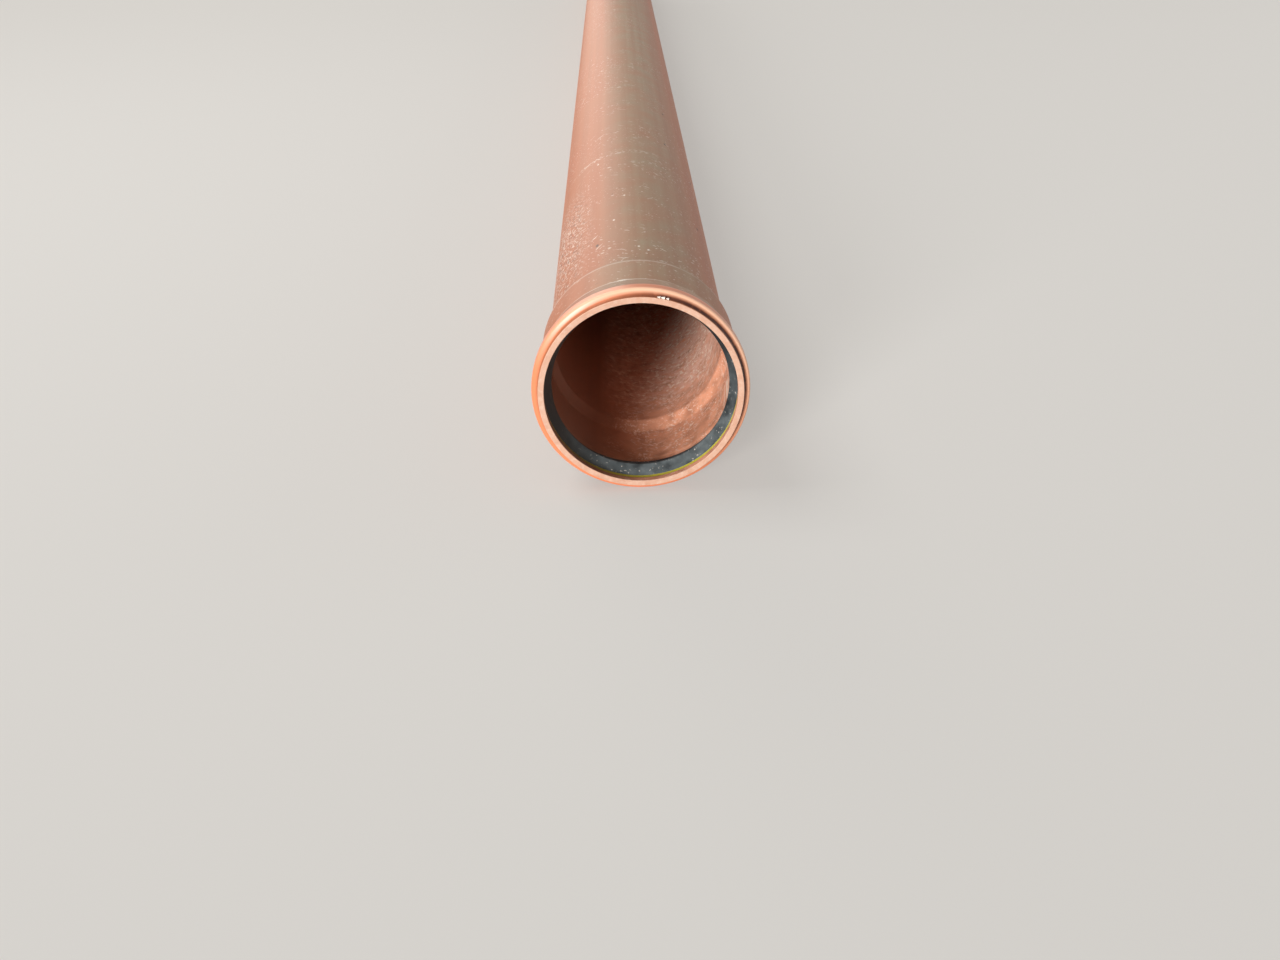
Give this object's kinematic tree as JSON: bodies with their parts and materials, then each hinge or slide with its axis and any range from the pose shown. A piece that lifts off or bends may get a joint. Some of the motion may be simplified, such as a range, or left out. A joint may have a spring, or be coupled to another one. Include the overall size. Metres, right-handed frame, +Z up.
{
  "type": "plastic drain pipe",
  "caption": "Orange-brown rigid plastic drain pipe with a beaded push-fit socket, a rubber lip seal behind a thin yellow ring, and a tapered plain end.",
  "frame": {"origin": "centre of the socket's mouth, on the pipe's axis", "axes": "+Y along the pipe's axis, from the socket's mouth to the plain end; +Z up, with the pipe lying; +X to the right, looking into the mouth"},
  "size_m": [0.1818, 3.092, 0.1818],
  "materials": {
    "orange_brown_pvc": "rigid PVC-U, extruded, satin to semi-gloss outside, dusty inside",
    "yellow_polypropylene": "moulded, matt",
    "black_rubber": "moulded rubber, dull, dusty"
  },
  "bodies": {
    "root": {"pipe": "orange_brown_pvc", "retaining_ring": "yellow_polypropylene", "lip_seal": "black_rubber"}
  },
  "joints": []
}
